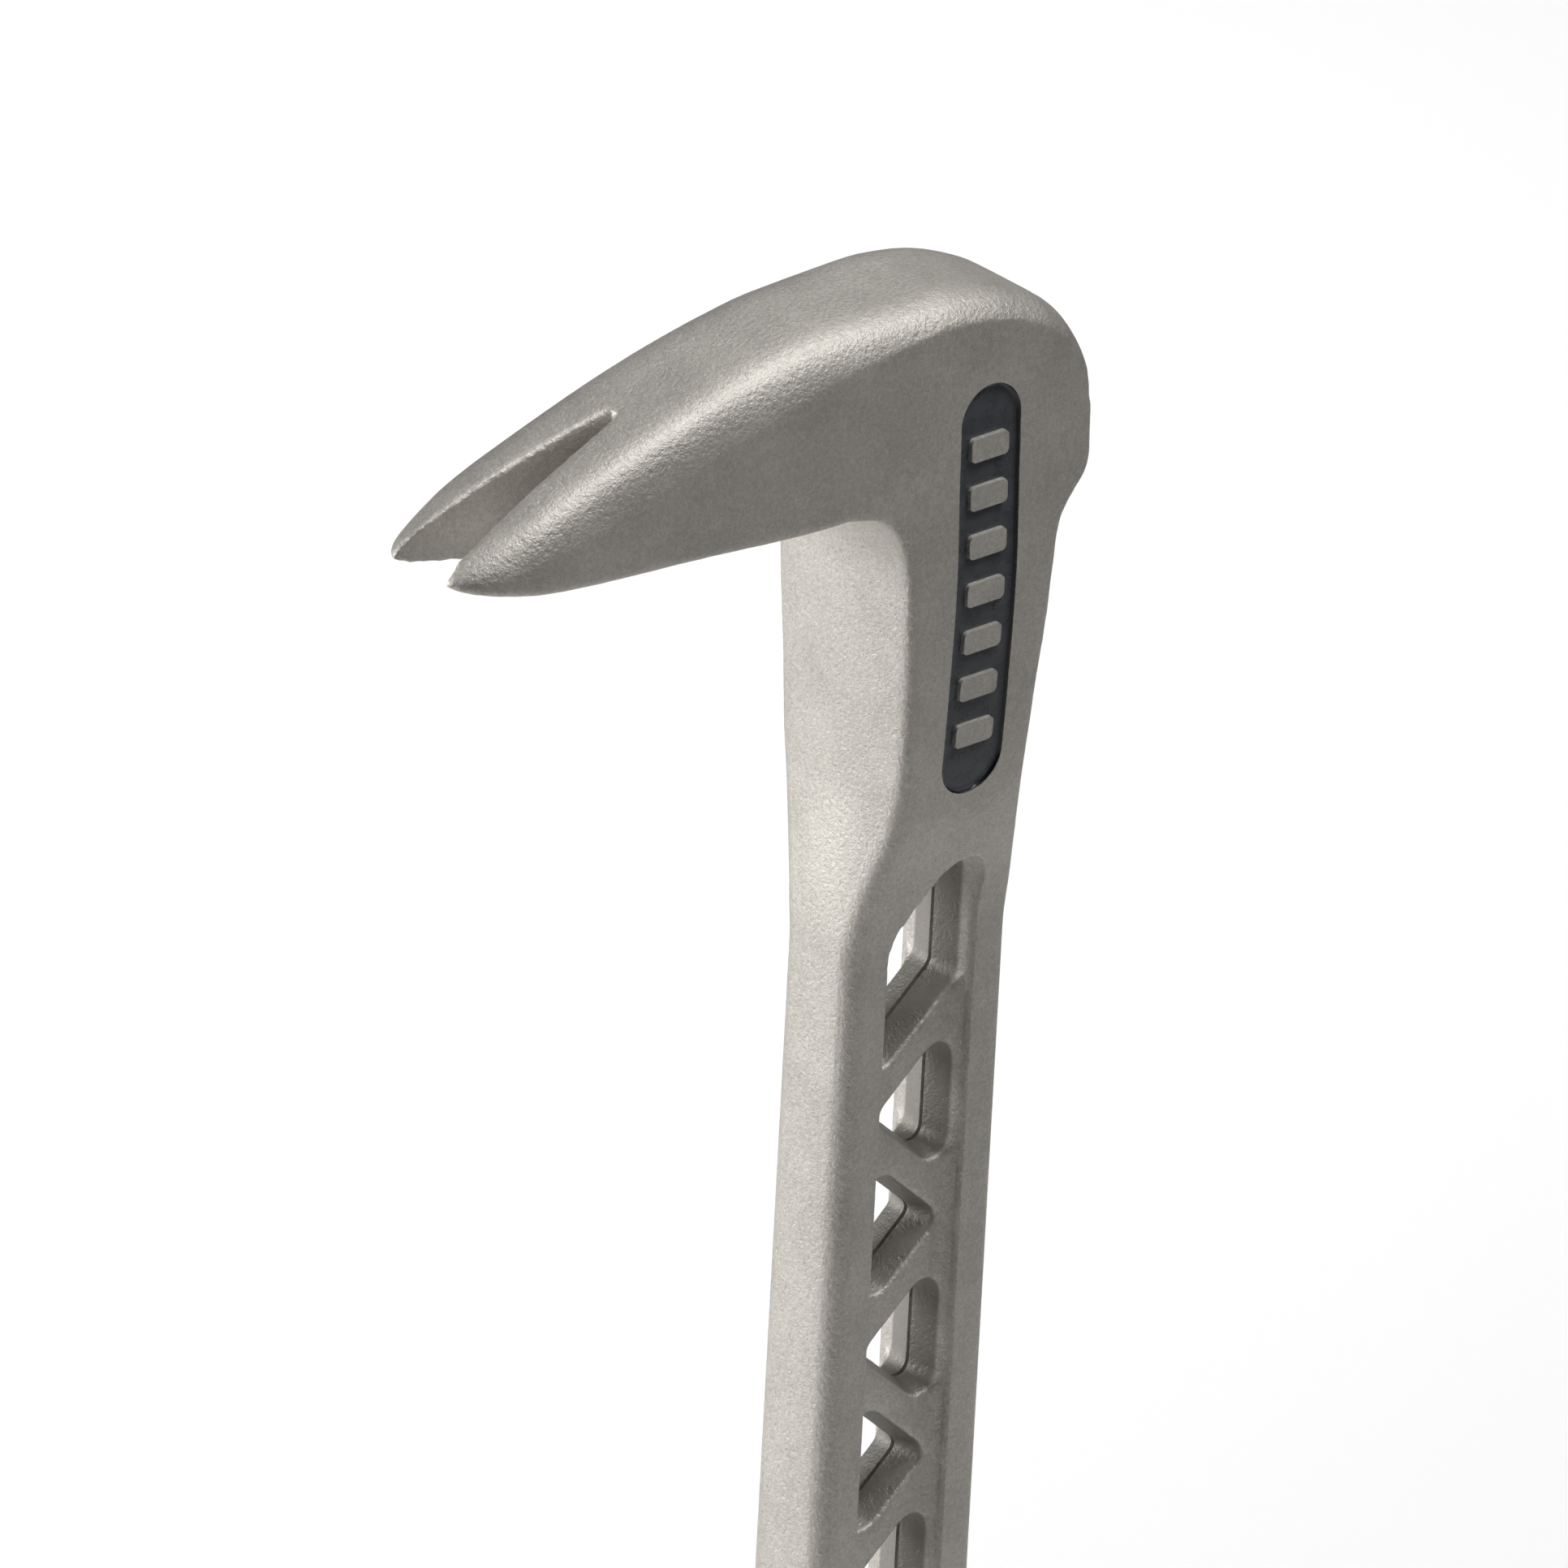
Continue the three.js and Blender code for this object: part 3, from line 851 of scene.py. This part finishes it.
@dataclass
class SideMark:
    """The plain capsule recess on each side of the neck, its raised bars and its enamel."""

    datum: Datum
    shaft: Shaft
    x: float = 2.1
    bottom: float = 253.5
    top: float = 296.5
    width: float = 7.6
    depth: float = 0.9
    enamel_below: float = 0.46
    rim_below: float = 0.08
    rim_width: float = 0.50
    bar_count: int = 7
    bar_length: float = 4.6
    bar_height: float = 2.3
    bar_gap: float = 2.7
    bar_corner: float = 0.5
    post_root: Pair = (6.0, 0.25)
    post_waist: float = 0.12
    post_end: Pair = (12.5, -0.25)

    def face(self, z: float) -> float:
        """Half width of the bar at a height."""
        return eased(self.shaft.half, z)

    def levels(self) -> list[Pair]:
        """Lists heights up the capsule and its half width at each.

        Returns:
            Pairs of height and half width, lowest first.
        """
        r = self.width / 2
        rim = [0.06 + 0.94 * math.sin(math.radians(6.0 * i)) for i in range(16)]
        lower = [(self.bottom + r - r * math.sqrt(1 - s * s), r * s) for s in rim]
        straight = [(z, r) for z in between(self.bottom + r, self.top - r, 40)]
        upper = [(self.top + self.bottom - z, half) for z, half in reversed(lower)]
        return lower + straight + upper

    def cutter(self, side: int) -> bpy.types.Object:
        """Builds the capsule that cuts the recess.

        Args:
            side: 1 for the left side and -1 for the right side.

        Returns:
            The cutter.
        """
        rings = []
        for z, half in self.levels():
            floor, sky = self.face(z) - self.depth, self.face(z) + 2.0
            across = [-1.0, -0.5, 0.0, 0.5, 1.0]
            loop = [(half * s, floor) for s in across]
            loop += [(half * s, sky) for s in reversed(across)]
            rings.append([self.datum.place(self.x + x, side * y, z) for x, y in loop])
        return Bench.tube("mark_recess", rings)

    def enamel(self, side: int) -> bpy.types.Object:
        """Builds the settled enamel, which climbs a little at its rim.

        Args:
            side: 1 for the left side and -1 for the right side.

        Returns:
            The enamel before the bars are cut from it.
        """
        rings, steps = [], 24
        for z, half in self.levels():
            face = self.face(z)
            end = min(z - self.bottom, self.top - z)
            loop = [(half * s, face - self.depth) for s in (-1.0, -0.5, 0.0, 0.5, 1.0)]
            for i in range(steps + 1):
                x = half * math.sin(math.pi * (0.5 - i / steps))
                near = min(half - abs(x), end)
                climb = max(0.0, 1.0 - near / self.rim_width) ** 2
                below = self.enamel_below + (self.rim_below - self.enamel_below) * climb
                loop.append((x, face - below))
            rings.append([self.datum.place(self.x + x, side * y, z) for x, y in loop])
        return Bench.tube("side_mark_enamel", rings)

    def bars(self, side: int) -> list[bpy.types.Object]:
        """Builds the posts that stay standing in the recess.

        Args:
            side: 1 for the left side and -1 for the right side.

        Returns:
            The posts, lowest first.
        """
        posts = []
        pitch = self.bar_height + self.bar_gap
        middle = (self.bottom + self.top) / 2
        half_x, half_z = self.bar_length / 2, self.bar_height / 2
        for i in range(self.bar_count):
            z = middle + (i - (self.bar_count - 1) / 2) * pitch
            r = self.bar_corner
            plan = rounded(
                [
                    (self.x - half_x, z - half_z, r),
                    (self.x + half_x, z - half_z, r),
                    (self.x + half_x, z + half_z, r),
                    (self.x - half_x, z + half_z, r),
                ],
                5,
            )
            rings = []
            waist = (self.face(z) - self.depth, self.post_waist)
            for y, spread in (self.post_root, waist, self.post_end):
                drawn = grown(plan, spread)
                rings.append([self.datum.place(px, side * y, pz) for px, pz in drawn])
            posts.append(Bench.tube(f"mark_bar_{i + 1}", rings))
        return posts

    def engrave(self, body: bpy.types.Object, side: int) -> bpy.types.Object:
        """Cuts the recess into the casting and fills it.

        Args:
            body: The casting.
            side: 1 for the left side and -1 for the right side.

        Returns:
            The enamel.
        """
        recess, fill = self.cutter(side), self.enamel(side)
        for post in self.bars(side):
            Bench.work(recess, post, Cut.CUT, keep=True)
            Bench.work(fill, post, Cut.CUT)
        Bench.work(body, recess, Cut.CUT)
        Bench.trim_folds(fill)
        Bench.smooth_by_angle(fill, 50)
        return fill


# ---- The named regions --------------------------------------------------------------------------


@dataclass(frozen=True)
class Region:
    """One named region of the casting and the sides on which it has no neighbour."""

    node: str
    open_sides: str
    y_split: int = 0

    def block(self) -> bpy.types.Object:
        """Builds the block that the region is carved with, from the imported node's box.

        Returns:
            The block, which reaches far out on every open side.
        """
        low, high = (Vector(corner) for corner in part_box(self.node))
        far = 0.05
        for axis, name in enumerate("xyz"):
            if f"-{name}" in self.open_sides:
                low[axis] -= far
            if f"+{name}" in self.open_sides:
                high[axis] += far
        if self.y_split > 0:
            low.y = 0.0
        if self.y_split < 0:
            high.y = 0.0
        return Bench.block(low, high)

    def carve(self, body: bpy.types.Object) -> bpy.types.Object:
        """Carves the region out of a copy of the casting.

        Args:
            body: The casting, or the stretch of it that holds the region.

        Returns:
            The region's piece.
        """
        piece = Bench.copy(body, f"{self.node}_skin")
        Bench.work(piece, self.block(), Cut.KEEP)
        Bench.trim_folds(piece)
        return piece


@dataclass(frozen=True)
class Stretch:
    """A stretch of the casting that is set apart first, with the regions inside it."""

    low: Vector
    high: Vector
    regions: tuple[Region, ...]

    def carve(self, body: bpy.types.Object) -> list[tuple[str, bpy.types.Object]]:
        """Carves every region of the stretch out of the casting.

        Args:
            body: The casting.

        Returns:
            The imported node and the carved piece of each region.
        """
        stock = Bench.copy(body, "stock")
        Bench.work(stock, Bench.block(self.low, self.high), Cut.KEEP)
        pieces = [(region.node, region.carve(stock)) for region in self.regions]
        bpy.data.objects.remove(stock)
        return pieces


def stretches(datum: Datum) -> list[Stretch]:
    """Lists the stretches of the casting, from the claw to the foot.

    Args:
        datum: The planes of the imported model.

    Returns:
        The stretches with their regions.
    """
    sides = "-y +y "
    claw = (
        Region("claw_tine_left", "-x +y -z +z", 1),
        Region("claw_tine_right", "-x -y -z +z", -1),
        Region("claw_bridge", sides + "-z +z"),
        Region("head_block", sides + "+z"),
        Region("strike_pad", sides + "+x +z"),
        Region("neck", sides + "-x"),
        Region("shoulder_cap", sides + "-x +x"),
        Region("shoulder_front_leg", sides + "-x -z"),
        Region("shoulder_rear_leg", sides + "+x -z"),
    )
    rails = (
        Region("front_rail", sides + "-x -z +z"),
        Region("rear_rail", sides + "+x -z +z"),
    )
    struts = (
        Region("truss_strut_01", sides + "-x +x +z"),
        *(Region(f"truss_strut_{n:02d}", sides + "-x +x") for n in range(2, STRUTS)),
        Region("truss_strut_12", sides + "-x +x -z"),
    )
    foot = (
        Region("heel_front_leg", sides + "-x +z"),
        Region("heel_rear_leg", sides + "+x +z"),
        Region("heel_block", sides + "-x +x"),
        Region("pry_shank", sides + "-x +x"),
        Region("pry_tine_left", "-x +x +y -z", 1),
        Region("pry_tine_right", "-x +x -y -z", -1),
    )
    far, sky = 90.0, 400.0
    top, bottom = datum.rails_top, datum.rails_bottom
    web_front, web_rear = datum.rail_front_inner, datum.rail_rear_inner
    return [
        Stretch(datum.place(-far, -far, top), datum.place(far, far, sky), claw),
        Stretch(datum.place(-far, -far, bottom), datum.place(far, far, top), rails),
        Stretch(
            datum.place(web_front, -far, bottom), datum.place(web_rear, far, top), struts
        ),
        Stretch(datum.place(-far, -far, -far), datum.place(far, far, bottom), foot),
    ]


# ---- Shading -----------------------------------------------------------------------------------


class Socket:
    """A value in a shader graph that takes part in ordinary arithmetic."""

    def __init__(self, graph: "Graph", plug: Any) -> None:
        """Wraps an output socket.

        Args:
            graph: The graph the socket belongs to.
            plug: The output socket.
        """
        self.graph = graph
        self.plug = plug

    def _math(self, kind: str, first: Any, second: Any) -> "Socket":
        """Adds one maths node and returns its result."""
        inputs = {0: first, 1: second}
        return self.graph.add("ShaderNodeMath", {"operation": kind}, inputs)["Value"]

    def __add__(self, other: Any) -> "Socket":
        """Adds."""
        return self._math("ADD", self, other)

    __radd__ = __add__

    def __sub__(self, other: Any) -> "Socket":
        """Subtracts."""
        return self._math("SUBTRACT", self, other)

    def __rsub__(self, other: Any) -> "Socket":
        """Subtracts from a plain number."""
        return self._math("SUBTRACT", other, self)

    def __mul__(self, other: Any) -> "Socket":
        """Multiplies."""
        return self._math("MULTIPLY", self, other)

    __rmul__ = __mul__

    def ramp(self, low: float, high: float) -> "Socket":
        """Spreads a range of values over 0 to 1 with soft ends.

        Args:
            low: The value that becomes 0.
            high: The value that becomes 1.

        Returns:
            The spread value.
        """
        made = self.graph.add(
            "ShaderNodeMapRange",
            {"interpolation_type": "SMOOTHSTEP"},
            {"Value": self, "From Min": low, "From Max": high},
        )
        return made["Result"]


class Graph:
    """The node graph of one material."""

    def __init__(self, name: str) -> None:
        """Starts a material with an empty graph.

        Args:
            name: The material's name.
        """
        self.material = bpy.data.materials.new(name)
        self.material.use_nodes = True
        self.tree = self.material.node_tree
        self.tree.nodes.clear()
        self.point = self.add("ShaderNodeTexCoord")["Object"]

    def add(
        self, kind: str, settings: Optional[dict] = None, inputs: Optional[dict] = None
    ) -> dict[str, Socket]:
        """Adds a node, sets it and joins its inputs.

        Args:
            kind: The node's type.
            settings: Properties to set first, by name.
            inputs: Values or sockets for its inputs, by name or number.

        Returns:
            The node's outputs by name.
        """
        node = self.tree.nodes.new(kind)
        for key, value in (settings or {}).items():
            setattr(node, key, value)
        for key, value in (inputs or {}).items():
            if isinstance(value, Socket):
                self.tree.links.new(value.plug, node.inputs[key])
            else:
                node.inputs[key].default_value = value
        return {plug.name: Socket(self, plug) for plug in node.outputs if plug.enabled}

    def across(self) -> Socket:
        """Finds how squarely the skin faces a side, from 0 to 1."""
        normal = self.add("ShaderNodeTexCoord")["Normal"]
        lean = self.add("ShaderNodeSeparateXYZ", None, {0: normal})["Y"]
        return lean * lean

    def noise(self, size: float, detail: float, rough: float) -> Socket:
        """Adds noise with grains of a given size.

        Args:
            size: The size of its grains in metres.
            detail: How many finer layers it has.
            rough: How strong the finer layers are.

        Returns:
            The noise, from 0 to 1.
        """
        inputs = {
            "Vector": self.point,
            "Scale": 1.0 / size,
            "Detail": detail,
            "Roughness": rough,
        }
        return self.add("ShaderNodeTexNoise", None, inputs)["Fac"]

    def pits(self, size: float) -> Socket:
        """Adds round cells of a given size.

        Args:
            size: The size of the cells in metres.

        Returns:
            The distance to the nearest centre.
        """
        made = self.add(
            "ShaderNodeTexVoronoi",
            {"feature": "F1"},
            {"Vector": self.point, "Scale": 1.0 / size, "Randomness": 1.0},
        )
        return made["Distance"]

    def blend(self, share: Any, first: Any, second: Any) -> Socket:
        """Mixes two colours.

        Args:
            share: How much of the second colour there is.
            first: The first colour.
            second: The second colour.

        Returns:
            The mixed colour.
        """
        node = self.tree.nodes.new("ShaderNodeMix")
        node.data_type = "RGBA"
        colours = [plug for plug in node.inputs if plug.type == "RGBA"]
        for plug, value in ((node.inputs[0], share), (colours[0], first), (colours[1], second)):
            if isinstance(value, Socket):
                self.tree.links.new(value.plug, plug)
            else:
                plug.default_value = value if plug.type != "RGBA" else (*value, 1.0)
        return Socket(self, next(plug for plug in node.outputs if plug.type == "RGBA"))

    def bump(self, height: Socket, strength: float, distance: float) -> Socket:
        """Turns a height into a normal."""
        inputs = {"Height": height, "Strength": strength, "Distance": distance}
        return self.add("ShaderNodeBump", None, inputs)["Normal"]

    def finish(self, inputs: dict) -> bpy.types.Material:
        """Closes the graph with one surface shader.

        Args:
            inputs: The shader's inputs by name.

        Returns:
            The material.
        """
        surface = self.add("ShaderNodeBsdfPrincipled", None, inputs)["BSDF"]
        self.add("ShaderNodeOutputMaterial", None, {"Surface": surface})
        return self.material


@dataclass(frozen=True)
class BlastedTitanium:
    """Cast titanium after bead blasting: matte, warm grey, speckled and pitted at its edges.

    The walls inside the windows get painted shade: their colour is darkened to stand in for the
    shade that falls there.
    """

    datum: Datum
    light: Triple = (0.68, 0.65, 0.605)
    dark: Triple = (0.46, 0.44, 0.405)
    metallic: float = 0.92
    roughness: float = 0.60
    grain: float = 0.00019
    dimple: float = 0.00050
    cloud: float = 0.007
    edge_relief: float = 0.36
    relief: Pair = (0.8, 0.00009)
    # How much darker the painted shade on the window walls is, and how strongly it is laid on.
    painted_wall_shade: float = 0.62
    painted_shade_strength: float = 0.85
    soft: float = 0.5

    def painted_shade_share(self, g: Graph) -> Socket:
        """Finds the walls inside the windows that get painted shade, from their place and their
        normal.

        Args:
            g: The material's graph.

        Returns:
            1 on the walls and 0 elsewhere.
        """
        d = self.datum
        place = g.add("ShaderNodeSeparateXYZ", None, {0: g.point})
        front, rear = (d.line_x + x for x in (d.rail_front_inner, d.rail_rear_inner))
        spans = (
            (place["X"], front - 2 * self.soft, rear + 2 * self.soft),
            (place["Y"], -WEB_HALF, WEB_HALF),
            (place["Z"], d.heel - 1.0, d.shoulder),
        )
        share = 1.0 - g.across().ramp(0.3, 0.7)
        for value, low, high in spans:
            share = share * value.ramp(low * MM, (low + self.soft) * MM)
            share = share * (1.0 - value.ramp((high - self.soft) * MM, high * MM))
        return share

    def edge_share(self, g: Graph) -> Socket:
        """Finds where the skin turns from one side to the next, from its own normal."""
        lean = g.across()
        return lean.ramp(0.04, 0.3) * (1.0 - lean.ramp(0.75, 0.97))

    def make(self) -> bpy.types.Material:
        """Builds the material.

        Returns:
            The material.
        """
        g = Graph("blasted_titanium")
        fine = g.noise(self.grain, 2.0, 0.6)
        middle = g.noise(self.dimple, 3.0, 0.6)
        cloud = g.noise(self.cloud, 4.0, 0.6)
        coarse = g.noise(self.dimple * 1.2, 3.0, 0.65).ramp(0.30, 0.70)
        pit = g.pits(self.dimple * 1.4).ramp(0.0, 0.45)
        edge = self.edge_share(g)
        tone = (fine * 0.6 + middle * 0.45 + cloud * 0.35).ramp(0.45, 0.95)
        even = fine * 0.7 + middle * 1.0 + pit * 0.35
        height = even + edge * coarse * self.edge_relief
        blasted = g.blend(tone, self.dark, self.light)
        # Painted shade: a darkened colour for the window walls, standing in for the shade inside
        # the windows.
        cast = tuple(c * self.painted_wall_shade for c in self.dark)
        return g.finish(
            {
                "Base Color": g.blend(self.painted_shade_share(g) * self.painted_shade_strength, blasted, cast),
                "Metallic": self.metallic,
                "Roughness": (self.roughness - 0.07) + fine * 0.08 + cloud * 0.06,
                "Normal": g.bump(height, *self.relief),
            }
        )


@dataclass(frozen=True)
class SlateEnamel:
    """Dark grey enamel fill, settled and half glossy, with painted shade that makes it nearly black
    where it climbs its rim.
    """

    colour: Triple = (0.048, 0.054, 0.061)
    worn: Triple = (0.068, 0.074, 0.082)
    # Painted shade: near-black colour laid on where the enamel climbs its rim, standing in for the
    # shade along the recess walls.
    rim: Triple = (0.006, 0.007, 0.008)
    roughness: float = 0.28
    cloud: float = 0.0016
    ripple: float = 0.0007
    relief: Pair = (0.25, 0.00004)

    def make(self) -> bpy.types.Material:
        """Builds the material.

        Returns:
            The material.
        """
        g = Graph("slate_enamel")
        cloud = g.noise(self.cloud, 3.0, 0.6)
        ripple = g.noise(self.ripple, 2.0, 0.5)
        # Mask of the painted rim shade: 0 on the rim's slope, 1 on the flat enamel.
        settled = g.across().ramp(0.50, 0.86)
        slate = g.blend(cloud.ramp(0.35, 0.7), self.colour, self.worn)
        return g.finish(
            {
                "Base Color": g.blend(settled, self.rim, slate),
                "Roughness": (self.roughness - 0.06) + cloud * 0.12,
                "Normal": g.bump(ripple, *self.relief),
            }
        )


@dataclass(frozen=True)
class PaleFloor:
    """Plain pale matte floor."""

    colour: Triple = (0.86, 0.86, 0.86)
    roughness: float = 0.85
    cloud: float = 0.12
    lift: float = 0.01

    def make(self) -> bpy.types.Material:
        """Builds the material.

        Returns:
            The material.
        """
        g = Graph("pale_floor")
        cloud = g.noise(self.cloud, 3.0, 0.5)
        lighter = tuple(c + self.lift for c in self.colour)
        return g.finish(
            {
                "Base Color": g.blend(cloud, self.colour, lighter),
                "Roughness": self.roughness,
            }
        )


# ---- The studio ---------------------------------------------------------------------------------


@dataclass(frozen=True)
class Softbox:
    """One area light of the studio."""

    name: str
    place: Triple
    target: Triple
    size: Pair
    power: float
    spread: float = 180.0
    colour: Triple = (1.0, 1.0, 1.0)

    def build(self) -> bpy.types.Object:
        """Adds the light and aims it.

        Returns:
            The light.
        """
        data = bpy.data.lights.new(self.name, "AREA")
        data.shape = "RECTANGLE"
        data.size, data.size_y = self.size
        data.energy = self.power
        data.spread = math.radians(self.spread)
        data.color = self.colour
        item = bpy.data.objects.new(self.name, data)
        bpy.context.collection.objects.link(item)
        item.location = self.place
        aim = Vector(self.target) - Vector(self.place)
        item.rotation_euler = aim.to_track_quat("-Z", "Y").to_euler()
        return item


@dataclass
class Studio:
    """Floor, light and camera."""

    look_at: Triple = (0.0097, 0.0, 0.2555)
    azimuth: float = -43.0
    elevation: float = 25.5
    roll: float = 3.1
    lens: float = 1400.0
    sensor: float = 36.0
    field: float = 0.1486
    world: float = 0.015
    lights: tuple[Softbox, ...] = (
        Softbox("key", (-0.95, 0.70, 0.50), (0.0, 0.0, 0.26), (0.6, 0.6), 9.0, 150.0),
        Softbox("over", (0.30, -0.38, 1.25), (0.0, 0.0, 0.28), (0.5, 0.5), 1.2, 60.0),
        Softbox("rear_high", (0.85, 0.55, 1.05), (0.0, 0.0, 0.28), (0.7, 0.7), 0.2, 70.0),
        Softbox("low_fill", (0.80, -1.15, 0.18), (0.0, 0.0, 0.28), (0.9, 0.9), 0.3, 90.0),
        Softbox("backdrop", (0.50, 0.53, 1.30), (0.50, 0.53, 0.0), (0.5, 0.5), 2.75, 70.0),
    )

    def floor(self) -> bpy.types.Object:
        """Lays the floor under the bar.

        Returns:
            The floor.
        """
        bpy.ops.object.select_all(action="DESELECT")
        bpy.ops.mesh.primitive_plane_add(size=6.0, location=(0.0, 0.0, 0.0))
        item = bpy.context.object
        item.name = "floor"
        item.data.materials.append(PaleFloor().make())
        return item

    def sky(self) -> None:
        """Fills the room with even light."""
        world = bpy.data.worlds.new("room")
        bpy.context.scene.world = world
        world.use_nodes = True
        backing = world.node_tree.nodes["Background"]
        backing.inputs["Color"].default_value = (1.0, 1.0, 1.0, 1.0)
        backing.inputs["Strength"].default_value = self.world

    def camera(self) -> bpy.types.Object:
        """Sets the camera on its line of view.

        Returns:
            The camera.
        """
        a, e, r = (math.radians(v) for v in (self.azimuth, self.elevation, self.roll))
        back = Vector((math.sin(a) * math.cos(e), -math.cos(a) * math.cos(e), math.sin(e)))
        right = Vector((math.cos(a), math.sin(a), 0.0))
        up = back.cross(right)
        data = bpy.data.cameras.new("camera")
        data.lens, data.sensor_width = self.lens, self.sensor
        data.clip_start, data.clip_end = 0.1, 20.0
        item = bpy.data.objects.new("camera", data)
        bpy.context.collection.objects.link(item)
        across = right * math.cos(r) + up * math.sin(r)
        upward = up * math.cos(r) - right * math.sin(r)
        item.location = Vector(self.look_at) + back * (self.field * self.lens / self.sensor)
        item.rotation_euler = Matrix((across, upward, back)).transposed().to_euler()
        bpy.context.scene.camera = item
        return item

    def build(self) -> None:
        """Sets up the whole studio."""
        self.floor()
        self.sky()
        for light in self.lights:
            light.build()
        self.camera()
        bpy.context.scene.view_settings.view_transform = "Standard"


# ---- Assembly ------------------------------------------------------------------------------------


@dataclass
class Casting:
    """The whole casting, from blank to finished skin."""

    datum: Datum
    melt_grain: float = 0.4
    grain: float = 0.34
    smoothing: int = 3

    def __post_init__(self) -> None:
        """Draws the parts that the casting is made from."""
        self.shaft = Shaft(self.datum)
        self.head = Head(self.datum)
        self.slots = NailSlots(self.datum, self.head)
        self.truss = Truss(self.datum)
        self.mark = SideMark(self.datum, self.shaft)

    def blank(self) -> bpy.types.Object:
        """Joins the shaft and the head and opens every slot and window.

        Returns:
            The casting's blank.
        """
        body = self.shaft.build()
        Bench.melt(body, self.head.build(), self.melt_grain * MM)
        for tool in (
            self.slots.claw_cutter(),
            self.slots.claw_edge_breaker(),
            self.slots.notch_cutter(),
            self.truss.pocket_cutter(1),
            self.truss.pocket_cutter(-1),
        ):
            Bench.work(body, tool, Cut.CUT)
        for outline in self.truss.windows:
            Bench.work(body, self.truss.window_cutter(outline), Cut.CUT)
        return body

    def build(self) -> tuple[bpy.types.Object, list[bpy.types.Object]]:
        """Builds the casting with its grooves and marks.

        Returns:
            The casting and the enamel of its two sides, left first.
        """
        body = self.blank()
        Bench.modify(body, "REMESH", mode="VOXEL", voxel_size=self.grain * MM)
        Bench.modify(body, "SMOOTH", factor=0.5, iterations=self.smoothing)
        for outline in self.truss.windows:
            Bench.work(body, self.truss.groove_cutter(outline), Cut.CUT)
        fills = [self.mark.engrave(body, side) for side in (1, -1)]
        log.info("casting: %d faces", len(body.data.polygons))
        return body, fills


def dress(piece: bpy.types.Object, finish: bpy.types.Material, node: str) -> None:
    """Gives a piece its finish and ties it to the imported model.

    Args:
        piece: The visible piece.
        finish: Its material.
        node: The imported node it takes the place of.
    """
    piece.data.materials.clear()
    piece.data.materials.append(finish)
    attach(piece, "root")
    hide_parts(node)
    log.info("%s: %d faces", node, len(piece.data.polygons))


def main() -> None:
    """Builds every piece in order, dresses it and closes the scene."""
    logging.basicConfig(level=logging.INFO, format="%(name)s: %(message)s")
    datum = Datum.from_frame()
    titanium, enamel = BlastedTitanium(datum).make(), SlateEnamel().make()
    body, fills = Casting(datum).build()
    for stretch in stretches(datum):
        for node, piece in stretch.carve(body):
            Bench.smooth_by_angle(piece, 40)
            dress(piece, titanium, node)
    bpy.data.objects.remove(body)
    for side, fill in zip(("left", "right"), fills):
        fill.name = f"side_mark_enamel_{side}_skin"
        dress(fill, enamel, f"side_mark_enamel_{side}")
    Studio().build()


if __name__ == "__main__":
    main()
